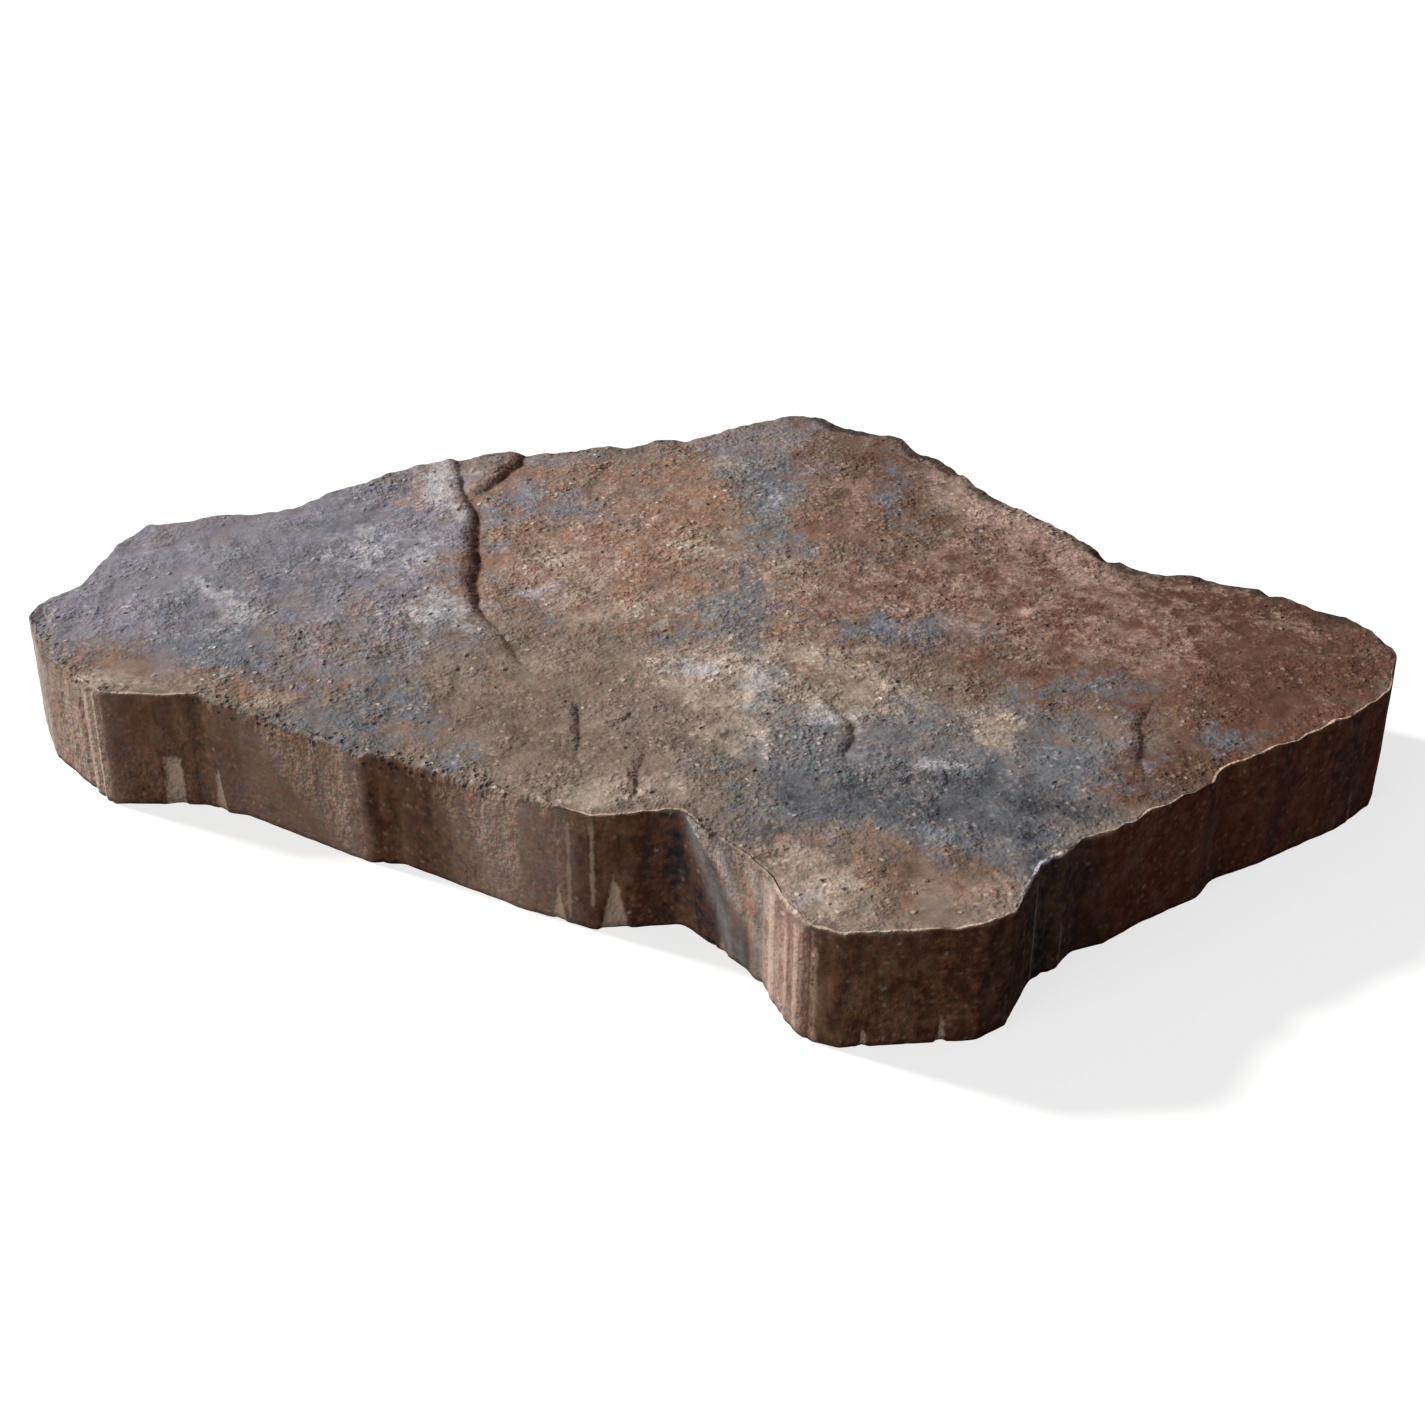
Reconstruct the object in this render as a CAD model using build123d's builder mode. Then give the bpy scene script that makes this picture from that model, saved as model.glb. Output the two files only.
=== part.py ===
"""Irregular flagstone-pattern paving slab, dry-cast in concrete as one piece.

The slab is a vertical-walled prism with a random-stone outline of four lobes. Its upper
face is moulded as riven stone: gentle swells, a worn arris that leans inwards, and cracks
where one layer of the stone steps down to the next. Frame: origin on the floor under the
middle of the plan, +X from the left tip to the right tip, +Y away from the front lobe and
+Z up. Sizes in mm, angles in degrees.
"""

import os
from math import exp, hypot, radians, tan

from build123d import *

# Overall sizes of the slab; the thickness is that of its flat ground between the swells
SLAB_LENGTH = 533.0
SLAB_WIDTH = 390.0
SLAB_THICKNESS = 50.0

# Pattern of the mould in plan, counter-clockwise from the left tip; it is stretched to the slab
LEFT_TIP = [(-266.5, 7), (-255, -21), (-226, -54)]
LEFT_FRONT_SIDE = [
    (-189, -54), (-182, -59), (-173, -61), (-123, -91), (-110, -92), (-64, -119), (-38, -131),
]
NOTCH = [(-7, -127), (15, -152), (22, -164), (27, -178)]
FRONT_LOBE = [(34, -190), (46, -195), (93, -190), (104, -182)]
RIGHT_FRONT_SIDE = [
    (115, -157), (124, -151), (131, -141), (143, -136), (160, -122), (181, -108),
    (188, -97), (206, -87), (241, -63),
]
RIGHT_TIP = [(257, -47), (266.5, -19), (260, 0), (253, 10)]
RIGHT_FAR_SIDE = [
    (243, 16), (225, 33), (214, 36), (198, 47), (187, 47), (174, 54), (149, 89),
    (130, 108), (121, 120), (104, 151), (93, 159), (88, 171),
]
FAR_LOBE = [(82, 174), (72, 175), (51, 194), (40, 195)]
LEFT_FAR_SIDE = [
    (24, 188), (-9, 168), (-20, 170), (-34, 162), (-52, 163), (-67, 157), (-94, 154),
    (-101, 150), (-119, 144), (-138, 133), (-148, 122), (-160, 115), (-176, 98),
    (-190, 93), (-210, 89), (-219, 83),
]
LEFT_FAR_LOBE = [(-233, 81), (-242, 68), (-251, 32), (-260, 21)]
WALL_CORNER_RADIUS = 4.5

# Arris: the top of the wall leans in where the edge of the mould is worn
ARRIS_HEIGHT = 6.0
ARRIS_LEAN = 15.0

# Riven face: swells and hollows as (x, y, radius, height) on the pattern, and its mesh of points
SWELLS = [
    (235, -40, 90, 2.6), (-180, 40, 95, 1.2), (60, -185, 55, -2.2), (-110, -95, 80, -1.6),
    (60, 60, 90, 1.5), (-20, -100, 45, 1.4), (130, -60, 60, -1.5), (-60, 140, 60, -1.0),
    (160, 90, 60, -1.2), (-240, 20, 40, -1.4), (-60, 0, 70, -1.3), (60, -60, 45, 1.2),
]
RIVEN_COLUMNS = 32
RIVEN_ROWS = 24
BLANK_ALLOWANCE = 1.0

# Cracks between layers, near end first, as (x, y, depth) on the pattern; at a negative
# depth the crack has risen clear of the face, and past the rim it is open to the wall
CRACKS = {
    "main": [
        (-68, -28, -0.6), (-74, -14, 1.0), (-85, 6, 2.0), (-90, 19, 3.0), (-92, 40, 3.6),
        (-93, 65, 3.6), (-95, 87, 3.2), (-99, 103, 2.6), (-106, 129, 2.0), (-112, 162, 1.6),
    ],
    "branch": [(-102, 103, -0.4), (-96, 118, 1.6), (-88, 131, 2.4), (-81, 148, 2.2), (-79, 172, 1.6)],
    "far_nick": [(-49, 135, -0.4), (-44, 142, 1.4), (-38, 152, -0.4)],
    "middle": [(-44, -97, -0.4), (-45, -86, 1.0), (-45, -74, 1.4), (-47, -57, 1.0), (-50, -43, -0.4)],
    "side": [(-23, -124, -0.4), (-23, -110, 1.0), (-22, -99, 1.2), (-21, -84, -0.4)],
    "hook": [
        (54, -104, -0.4), (52, -96, 1.4), (51, -89, 1.2), (55, -79, 1.8), (55, -70, 2.0),
        (50, -60, 1.4), (44, -51, -0.4),
    ],
    "right": [
        (158, -108, -0.4), (158, -92, 1.6), (159, -83, 1.8), (161, -69, 2.0), (164, -60, 1.6),
        (171, -50, -0.4),
    ],
    "right_ripple": [(216, -18, -0.4), (209, -2, 1.0), (203, 7, 1.0), (195, 20, -0.4)],
}
CRACK_BANK_ANGLE = 30.0
CRACK_LIP_ANGLE = 78.0
CRACK_MOUTH = 5.0

# Bites broken out of the far rim, as (x, y, radius) on the pattern at the level of the face
RIM_BITES = [(96, 163, 9.0), (112, 139, 7.0), (168, 64, 11.0), (228, 32, 8.0), (-30, 168, 7.0)]
BITE_SINK = 0.35

os.makedirs("parts", exist_ok=True)

outline = (
    LEFT_TIP + LEFT_FRONT_SIDE + NOTCH + FRONT_LOBE + RIGHT_FRONT_SIDE
    + RIGHT_TIP + RIGHT_FAR_SIDE + FAR_LOBE + LEFT_FAR_SIDE + LEFT_FAR_LOBE
)
pattern_length = max(x for x, y in outline) - min(x for x, y in outline)
pattern_width = max(y for x, y in outline) - min(y for x, y in outline)


def on_slab(x, y):
    """The place on the slab of a point of the pattern."""
    return x * SLAB_LENGTH / pattern_length, y * SLAB_WIDTH / pattern_width


def face_height(x, y):
    """Height of the riven face over a point of the pattern: bell-shaped swells, added up."""
    swells = sum(
        height * exp(-((hypot(x - middle_x, y - middle_y) / radius) ** 2))
        for middle_x, middle_y, radius, height in SWELLS
    )
    return SLAB_THICKNESS + swells


def riven_face():
    """A spline face through a mesh of points that reaches past the outline all round."""
    columns = [pattern_length * (i / (RIVEN_COLUMNS - 2) - 0.5) for i in range(-1, RIVEN_COLUMNS)]
    rows = [pattern_width * (j / (RIVEN_ROWS - 2) - 0.5) for j in range(-1, RIVEN_ROWS)]
    points = [[(*on_slab(x, y), face_height(x, y)) for y in rows] for x in columns]
    return Face.make_surface_from_array_of_points(points)


highest_swell = max(height for x, y, radius, height in SWELLS)
blank_height = SLAB_THICKNESS + highest_swell + BLANK_ALLOWANCE
arris_drop = ARRIS_HEIGHT + blank_height - SLAB_THICKNESS
bank_reach = CRACK_MOUTH / tan(radians(CRACK_BANK_ANGLE))
lip_reach = CRACK_MOUTH / tan(radians(CRACK_LIP_ANGLE))

with BuildPart() as paving_slab:
    # Blank: the outline with its corners eased, raised past the highest swell
    with BuildSketch():
        with BuildLine():
            Polyline([on_slab(x, y) for x, y in outline], close=True)
        plan = make_face()
        fillet(plan.vertices(), radius=WALL_CORNER_RADIUS)
    extrude(amount=blank_height)

    # Worn arris: the lean starts below the face, so that the riven cut leaves its lower part
    top = paving_slab.faces().sort_by(Axis.Z)[-1]
    chamfer(
        top.edges(), length=arris_drop * tan(radians(ARRIS_LEAN)), length2=arris_drop, reference=top
    )

    # Riven face: all that stands over the spline face is cut away
    extrude(
        to_extrude=riven_face(), amount=blank_height, dir=(0, 0, 1), mode=Mode.SUBTRACT
    )

    # Cracks: a long bank on the left falls to a foot, under the steep lip of the next layer
    for points in CRACKS.values():
        feet = [Vector(*on_slab(x, y), face_height(x, y) - depth) for x, y, depth in points]
        for foot, before, after in zip(feet, feet[:1] + feet, feet[1:] + feet[-1:]):
            ahead = (after - before).normalized()
            with BuildSketch(Plane(foot, x_dir=Vector(0, 0, 1).cross(ahead), z_dir=ahead)):
                with BuildLine():
                    Polyline((0, 0), (bank_reach, CRACK_MOUTH), (-lip_reach, CRACK_MOUTH), close=True)
                make_face()
        loft(ruled=True, mode=Mode.SUBTRACT)

    # Bites: a ball sunk a little into the rim leaves each a shallow scoop
    for x, y, radius in RIM_BITES:
        centre = Vector(*on_slab(x, y), face_height(x, y) + radius * (1 - BITE_SINK))
        with Locations(centre):
            Sphere(radius, mode=Mode.SUBTRACT)

paving_slab.part.label = "paving_slab"
export_step(paving_slab.part, "parts/paving_slab.step")

print("paving_slab: volume", round(paving_slab.part.volume / 1000), "cm3")
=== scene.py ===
"""Looks of the concrete paving slab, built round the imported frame.

The slab is one mesh: a riven top, a worn arris, walls with the marks of the mould and a flat
foot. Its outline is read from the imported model, so it stands where the model stands. Lengths
are in millimetres until a mesh is written, and then in metres.
"""

import functools
import math

import bpy
import numpy as np
from mathutils import Matrix, Vector


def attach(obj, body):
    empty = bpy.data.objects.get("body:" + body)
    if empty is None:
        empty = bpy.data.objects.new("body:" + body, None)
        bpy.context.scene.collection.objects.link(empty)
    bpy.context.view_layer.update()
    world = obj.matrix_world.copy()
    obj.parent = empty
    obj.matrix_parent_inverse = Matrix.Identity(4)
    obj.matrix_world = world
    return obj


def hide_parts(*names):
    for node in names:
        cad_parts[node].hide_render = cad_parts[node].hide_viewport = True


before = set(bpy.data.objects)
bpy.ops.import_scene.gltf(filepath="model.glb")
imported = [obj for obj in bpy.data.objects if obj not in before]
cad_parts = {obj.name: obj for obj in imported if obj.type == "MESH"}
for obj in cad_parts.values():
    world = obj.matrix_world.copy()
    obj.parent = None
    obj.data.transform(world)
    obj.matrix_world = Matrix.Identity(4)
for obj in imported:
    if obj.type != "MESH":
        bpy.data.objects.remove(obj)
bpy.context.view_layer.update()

MM = 0.001
SLAB_NODE = "paving_slab"

# The photograph, in its own pixels, and the camera that was fitted to it
PHOTO_HEIGHT = 1426
FOCAL_PIXELS = 2472
SENSOR = 36
CAMERA_PLACE = (3.4, -835.3, 534.1)
CAMERA_PITCH = 32.1
CAMERA_ROLL = 0.52

# Riven face, as the model has it: swells and hollows (x, y, radius, height)
THICKNESS = 50.0
SWELLS = [
    (235, -40, 90, 2.6), (-180, 40, 95, 1.2), (60, -185, 55, -2.2), (-110, -95, 80, -1.6),
    (60, 60, 90, 1.5), (-20, -100, 45, 1.4), (130, -60, 60, -1.5), (-60, 140, 60, -1.0),
    (160, 90, 60, -1.2), (-240, 20, 40, -1.4), (-60, 0, 70, -1.3), (60, -60, 45, 1.2),
]

# Cracks, as the model has them but with the long ones drawn out and the short ones shallower,
# and one fine nick near the front: points (x, y, depth), near end first
CRACKS = {
    "main": [
        (-66, -31, -0.3), (-70, -22, 1.5), (-74, -14, 1.6), (-79, -3, 1.0), (-85, 6, 1.7),
        (-90, 19, 3.0), (-92, 40, 3.6), (-93, 65, 3.6), (-95, 87, 3.2), (-99, 103, 2.6),
        (-105, 116, 1.9), (-107, 130, 1.5), (-112, 162, 1.2),
    ],
    "branch": [
        (-102.5, 107, 1.2), (-97, 115, 1.6), (-89, 128, 2.4), (-82, 143, 2.9), (-79, 172, 2.0),
    ],
    "far_nick": [(-49, 135, -0.4), (-44, 142, 1.4), (-38, 152, -0.4)],
    "near_nick": [(-34, -77, -0.2), (-31, -70, 1.2), (-27, -63, 1.1), (-23, -55, -0.3)],
    "middle": [
        (-44, -103, -0.3), (-45, -88, 1.1), (-45, -74, 1.5), (-47, -58, 1.3), (-51, -37, -0.3),
    ],
    "side": [(-23, -128, 0.0), (-23, -112, 1.4), (-22, -99, 1.5), (-20, -81, -0.3)],
    "hook": [
        (54, -107, -0.3), (52, -96, 1.3), (51, -89, 1.2), (55, -79, 1.6), (55, -70, 1.8),
        (50, -60, 1.3), (43, -47, -0.3),
    ],
    "right": [
        (158, -112, -0.3), (158, -92, 1.4), (159, -83, 1.6), (161, -69, 1.7), (164, -60, 1.4),
        (172, -47, -0.3),
    ],
    "right_ripple": [(216, -18, -0.4), (209, -2, 1.0), (203, 7, 1.0), (195, 20, -0.4)],
}

# The bank of a crack, in times its depth, and the share of the depth that the left layer rises
BANK_REACH = 2.0
LAYER_RISE = 0.5

# How far from a crack the mesh is drawn in towards it, and how strongly
CRACK_PULL = 8.0
PULL_POWER = 0.8

# How a crack wanders from its line, as noise: (height, cell, seed)
CRACK_WANDER = [(1.1, 11, 31), (0.12, 5, 33)]

# Relief that the stone of the mould left on the top, as noise: (height, cell, seed)
TOP_RELIEF = [(0.7, 42, 11), (0.55, 18, 12), (0.28, 8, 13), (0.12, 4.5, 14)]
RELIEF_DROP = 0.8

# Mesh: rings of the top from the middle to the arris, stations round the rim, and rows down
# the arris and the wall
TOP_RINGS = 130
STATIONS = 8 * TOP_RINGS
ARRIS_ROWS = 6
WALL_ROWS = 17

# Pigment patches on the top: (x, y, half length, half width, turn in degrees, strength)
PATCHES = {
    "rust": [
        (-62, 62, 44, 46, 0, 0.65), (-12, 110, 28, 46, 0, 0.75), (-75, 120, 22, 28, 0, 0.55),
        (55, 105, 22, 46, 0, 0.7), (-20, 50, 40, 32, 0, 0.6), (45, 15, 44, 30, 0, 0.55),
        (-222, -26, 32, 20, -10, 0.5), (-112, -70, 18, 18, 0, 0.4), (62, -166, 40, 20, 0, 0.5),
        (-45, 18, 44, 22, 0, 0.5), (20, 160, 24, 16, 0, 0.5), (-165, -45, 28, 12, -15, 0.5),
        (105, -75, 10, 20, 0, 0.45), (60, -145, 44, 8, 0, 0.35), (-155, -20, 22, 14, 0, 0.45),
        (-45, 138, 34, 16, 0, 0.5), (25, -25, 44, 20, 0, 0.35), (-60, -40, 44, 24, 0, 0.25),
        (-20, 80, 34, 26, 0, 0.4), (-108, 30, 14, 30, 0, 0.4), (-92, 128, 8, 20, 0, 0.5),
        (-216, 30, 20, 10, 10, 0.25), (-226, -20, 28, 14, -10, 0.25), (-150, 8, 26, 14, 0, 0.35),
        (-106, 80, 8, 30, 0, 0.4), (-128, 30, 12, 24, 0, 0.3),
    ],
    "russet": [
        (185, -5, 90, 56, -10, 0.85), (110, 55, 52, 60, 0, 0.7), (222, -32, 60, 46, 10, 0.95),
        (78, 140, 28, 46, 0, 0.7), (140, 30, 60, 60, 0, 0.75), (205, -78, 50, 24, 33, 0.95),
        (95, 10, 45, 40, 0, 0.5), (60, 188, 26, 16, -30, 0.7), (160, -98, 34, 18, 35, 0.8),
        (150, -45, 34, 26, 0, 0.55), (60, 60, 30, 50, 0, 0.35), (85, -155, 36, 14, 0, 0.35),
        (215, 28, 50, 22, -25, 0.95), (50, 145, 20, 30, 0, 0.5), (-20, 60, 40, 40, 0, 0.15),
    ],
    "maroon": [
        (232, -24, 50, 46, 0, 0.5), (212, 26, 52, 32, -20, 1.0), (195, -60, 38, 24, 30, 0.45),
        (166, -98, 30, 16, 35, 0.95), (130, 50, 24, 40, 0, 0.25), (80, 135, 12, 40, 0, 0.25),
    ],
    "brown": [
        (-80, -62, 40, 22, -15, 0.35), (-52, -90, 30, 18, -15, 0.3), (172, -98, 36, 18, 35, 0.4),
        (58, 100, 16, 40, 0, 0.3), (52, 145, 20, 30, 0, 0.35), (50, 188, 26, 14, 0, 0.25),
        (75, -158, 38, 20, 0, 0.4), (-165, -32, 30, 14, -15, 0.3),
        (0, 155, 34, 14, 5, 0.3), (62, -5, 26, 14, 0, 0.25), (-20, 5, 26, 12, 0, 0.3),
        (-38, -36, 20, 10, 0, 0.35), (-222, -22, 30, 14, -10, 0.55),
    ],
    # lilac: pale lilac-grey, which over the left lobe is a painted sheen, the reflection of a pale sky
    "lilac_and_sheen": [
        (-208, 50, 70, 60, 20, 1.0), (-150, 85, 55, 60, 20, 0.95), (-132, 40, 26, 60, 0, 0.8),
        (-240, 20, 40, 36, 0, 1.0), (-60, 150, 40, 10, 5, 0.4), (45, 188, 26, 14, 0, 0.4),
        (12, 165, 26, 12, 20, 0.5), (-195, -12, 36, 20, -20, 0.75), (-118, 100, 14, 50, 0, 0.6),
        (-150, -35, 40, 20, -20, 0.35), (-55, 95, 20, 16, 0, 0.3), (60, -85, 60, 40, 0, 0.3),
        (120, -100, 30, 30, 0, 0.4), (-105, 0, 18, 26, 0, 0.4), (30, 130, 26, 40, 0, 0.3),
        (-72, 110, 20, 20, 0, 0.5), (50, 142, 16, 22, 0, 0.15),
    ],
    "slate": [
        (26, 116, 18, 46, 0, 0.75), (20, 60, 12, 34, 0, 0.5), (13, 12, 16, 26, 0, 1.0),
        (22, -42, 14, 22, 0, 0.7), (78, 1, 30, 15, 0, 1.0), (75, -74, 48, 20, 5, 0.6),
        (130, -92, 32, 32, 0, 0.75), (48, -112, 40, 26, 0, 0.9), (88, -116, 38, 26, 0, 0.9),
        (-130, -70, 28, 22, 0, 0.8), (-114, -40, 12, 26, 20, 0.65), (-88, -93, 10, 12, 0, 0.6),
        (-62, 12, 12, 16, 0, 0.5), (-54, 98, 14, 12, 0, 0.4), (-46, 148, 12, 7, 0, 0.5),
        (-186, -20, 26, 16, -20, 0.8), (-140, 60, 34, 34, 0, 0.35), (190, -76, 12, 12, 0, 0.7),
        (80, 114, 9, 36, 0, 0.6), (28, -92, 24, 30, 0, 0.6), (150, -42, 30, 18, 0, 0.42),
        (112, -150, 12, 28, 0, 0.8), (-10, -5, 10, 16, 0, 0.3), (-150, 100, 40, 20, 25, 0.3),
        (-205, 10, 24, 16, 0, 0.4), (40, -148, 12, 10, 0, 0.3), (104, -140, 26, 16, 0, 0.7),
        (12, 150, 24, 10, 0, 0.4), (10, -18, 10, 16, 0, 0.4), (-172, 42, 44, 26, 0, 0.4),
        (-60, 112, 16, 12, 0, 0.4), (-26, 118, 10, 10, 0, 0.4), (-34, 84, 12, 12, 0, 0.35),
        (-40, 62, 12, 10, 0, 0.3), (40, 60, 10, 16, 0, 0.3), (70, 60, 12, 18, 0, 0.25),
    ],
    "charcoal": [
        (70, -127, 28, 8, 0, 0.8), (120, -122, 18, 14, 30, 0.75), (138, -124, 12, 8, 0, 0.6),
        (114, -160, 10, 30, 20, 0.9), (30, -137, 16, 5, 0, 0.5), (48, -112, 28, 14, 0, 0.5),
        (90, -116, 26, 16, 0, 0.55), (128, -88, 22, 18, 0, 0.3),
        (186, -78, 8, 5, 0, 0.3), (75, 185, 10, 6, -50, 0.4),
    ],
    "rose": [
        (112, 122, 16, 30, 20, 0.75), (132, 92, 26, 22, -35, 0.7), (152, 62, 26, 18, -35, 0.6),
        (160, 40, 34, 20, 0, 0.45), (228, 0, 26, 12, -30, 0.25), (216, 30, 34, 10, -30, 0.25),
        (180, -25, 24, 24, 40, 0.2), (-60, 50, 30, 24, 0, 0.55), (85, -170, 24, 12, 0, 0.4),
        (95, 40, 34, 50, 0, 0.4), (-118, 116, 18, 22, 0, 0.9), (30, 30, 40, 40, 0, 0.3),
        (60, 120, 20, 40, 0, 0.3), (-30, 100, 40, 40, 0, 0.35), (150, 0, 60, 30, 0, 0.35),
        (28, -170, 12, 24, 0, 0.7), (145, -106, 22, 10, 35, 0.3), (-130, 20, 16, 26, 0, 0.3),
        (-250, 10, 16, 18, 0, 0.15),
    ],
    "sand": [
        (5, -35, 28, 26, 0, 0.7), (55, -48, 28, 14, 0, 0.4), (107, -76, 9, 20, 0, 0.8),
        (-44, -115, 16, 9, 0, 0.75), (33, -168, 16, 22, 0, 0.75), (-62, 54, 22, 24, 0, 0.5),
        (-2, 62, 24, 28, 0, 0.4), (40, 50, 20, 24, 0, 0.25), (-30, 16, 38, 14, 0, 0.45),
        (-215, -44, 26, 8, -10, 0.4), (12, -75, 14, 18, 0, 0.5), (-158, -52, 5, 5, 0, 0.9),
        (-65, -25, 30, 12, 0, 0.25), (-16, -118, 14, 8, 0, 0.5), (50, -20, 24, 12, 0, 0.5),
        (15, 145, 30, 14, 0, 0.3), (75, -60, 50, 10, 0, 0.25), (60, -100, 60, 30, 0, 0.15),
    ],
    "frost": [
        (-192, 26, 20, 5, -45, 0.8), (-182, 4, 6, 14, 0, 0.6), (-115, 122, 12, 20, 15, 0.8),
        (-101, 12, 17, 12, 0, 0.8), (-104, 98, 6, 14, 0, 0.9), (-140, 54, 26, 20, 0, 0.3),
        (-62, 30, 26, 9, 0, 0.35), (20, -38, 14, 18, 0, 0.3), (44, -66, 18, 8, 0, 0.4),
        (25, 108, 12, 22, 0, 0.3), (-122, 48, 16, 14, 0, 0.4), (-222, 60, 22, 14, 0, 0.2),
        (-3, -30, 12, 8, 0, 0.35), (82, -98, 10, 6, 0, 0.4),
        (124, -84, 14, 12, 0, 0.2), (30, -172, 10, 12, 0, 0.3), (-135, 70, 22, 16, 0, 0.3),
    ],
}

# Places where the top is smooth and shows little grain: (x, y, reach, strength)
SMOOTH_PLACES = [
    (-228, 48, 45, 0.6), (-180, 80, 50, 0.5), (-62, -52, 38, 0.7), (-212, -36, 30, 0.6),
    (62, -168, 40, 0.6), (128, -92, 24, 0.5), (-150, 55, 30, 0.4),
    (-110, 125, 16, 0.5), (205, -20, 60, 0.5), (160, 20, 50, 0.3), (215, 30, 34, 0.3),
]

# Pigments of the mix, in the order in which they lie over the ground
GROUND_COLOURS = ("8f7d71", "756559")
PIGMENTS = {
    "rust": "966f58",
    "russet": "694331",
    "maroon": "553426",
    "brown": "5f4a3b",
    # Pale lilac-grey, and over the left lobe a painted sheen of reflected sky
    "lilac_and_sheen": "898590",
    "slate": "6b6e74",
    "charcoal": "434449",
    "rose": "ab8c80",
    "sand": "b6a392",
    "frost": "bfbcc1",
}

# How strongly a pigment breaks up into speckles, and those that differ from the others
COMMON_SPECKLING = 1.5
SPECKLING = {"rose": 2.6, "sand": 2.2, "lilac_and_sheen": 1.4, "slate": 1.9, "frost": 2.2}

# Marks on the walls, each at a place of the outline: (x, y, reach along the wall, strength)
WALL_MARKS = {
    "dust": [
        (-262, -4, 30, 0.75), (-94, -103, 8, 0.3), (-60, -120, 8, 0.3), (-240, -38, 22, 0.9),
        (-146, -81, 20, 0.5), (-130, -88, 9, 0.75),
        (-168, -66, 18, 0.45), (-74, -112, 22, 1.0), (-55, -123, 9, 0.35), (0, -134, 12, 0.2),
        (12, -150, 8, 0.1), (25, -172, 14, 0.85), (32, -188, 7, 0.5), (-232, -49, 9, 1.0),
        (-225, 84, 26, 0.5), (-160, 106, 22, 0.4), (-60, 163, 22, 0.5), (40, 192, 20, 0.5),
        (110, 140, 18, 0.4), (240, 20, 26, 0.5),
    ],
    # Grey marks, and at the notch's slope a pale streak painted where light falls beside the cast
    # shadow
    "ash_and_painted_light": [
        (-264, -3, 10, 0.85), (-256, -16, 8, 0.5), (4, -140, 7, 1.0), (11, -149, 6, 0.7),
        (17, -159, 6, 0.7), (22, -168, 5, 0.5), (-45, -127, 5, 0.3), (-250, 60, 16, 0.5),
        (-190, 94, 14, 0.4), (10, 172, 12, 0.4),
    ],
    "umber": [
        (-214, -54, 13, 0.1), (-117, -92, 7, 0.9), (-98, -101, 12, 0.7),
        (-40, -130, 9, 0.5), (-18, -129, 14, 1.0), (50, -195, 16, 0.7), (85, -191, 26, 1.0),
        (108, -172, 16, 0.9), (-115, 142, 26, 0.5), (80, 174, 22, 0.6), (140, 95, 20, 0.5),
    ],
    "oxide": [
        (-212, -54, 15, 0.3), (-57, -121, 9, 0.2), (138, -138, 26, 0.9),
        (170, -112, 30, 1.0), (205, -88, 34, 1.0), (245, -60, 34, 1.0), (-20, 168, 30, 0.4),
        (185, 48, 24, 0.5),
    ],
    # Blue-black marks, and at the notch's corner painted shade where the slope lies in cast shadow
    "soot_and_painted_shade": [
        (116, -158, 9, 0.9), (130, -142, 12, 0.6), (242, -62, 11, 0.5), (213, -82, 12, 0.35),
        (180, -108, 9, 0.3), (-8, -130, 10, 0.85), (6, -143, 3, 0.4), (12, -152, 4, 0.6),
    ],
}

# Where the marks on the wall slant, so that at the notch they run along the edge of the cast shadow:
# the notch's slope (x, y, reach), the way down it, and the lean
SLANT_PLACE = (2, -136, 18)
SLANT_WAY = (0.55, -0.83)
SLANT = 0.7

# Colours of the walls: the skin in two shades, and the marks in the order in which they lie
SKIN_COLOURS = ("906c56", "654939")
WALL_COLOURS = {
    "dust": "ae968a",
    # Grey of the ash marks, also the painted light on the notch's slope
    "ash_and_painted_light": "b2afaa",
    "umber": "4f2915",
    "oxide": "6e341c",
    # Blue-black of the soot marks, also the painted shade at the notch's corner
    "soot_and_painted_shade": "282a30",
}

# Tones laid over that skin: its mottling, and the dark and the pale of its blotches
SKIN_MOTTLE = "80543a"
SKIN_DARK = "3d261a"
SKIN_PALE = "a3836c"

# Tones of the grain and the paste (on the burr also a painted highlight), the painted shade of the pits
# and of the cracks' banks and foot, and the dark band of the rim
SAND_GRAIN = "d9c6b4"
# Pale paste of the burr, ribs and flakes; on the burr also a painted highlight on the lip
PASTE_AND_HIGHLIGHT = "c3a995"
PASTE_AND_HIGHLIGHT_ON_CHARCOAL = "bdb8c2"
# Painted shade inside the air pits
PIT_SHADE = "20150f"
# Painted shade of the cracks: warm brown on the banks, near black at the foot
CRACK_BANK_SHADE = "6a3a22"
CRACK_FOOT_SHADOW = "2c150b"
DARK_RIM_COLOUR = "32231b"
MID_GREY = (0.5, 0.5, 0.5, 1)

# The paper under the slab, as the camera and as the slab see it, and the light round it
PAPER_SEEN = "b0aeab"
PAPER_UNSEEN = "6a6763"
WHITE = (1, 1, 1, 1)
SKY = (0.9, 0.95, 1.0, 1)

# Sizes of the grain of the mix, in mm: the real grit is finer, and would not show
FINE_GRAIN = 1.8
CLUMP = 4.2
SPECKLE = 4.5
SMALL_BIT = 2.9
LARGE_BIT = 4.8
BIT_TEAR = 1.4

# Upright runs on the walls: their width in mm, and how much the noise is drawn out upwards
RUN_WIDTH = 7
RUN_SQUASH = 0.28

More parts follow.
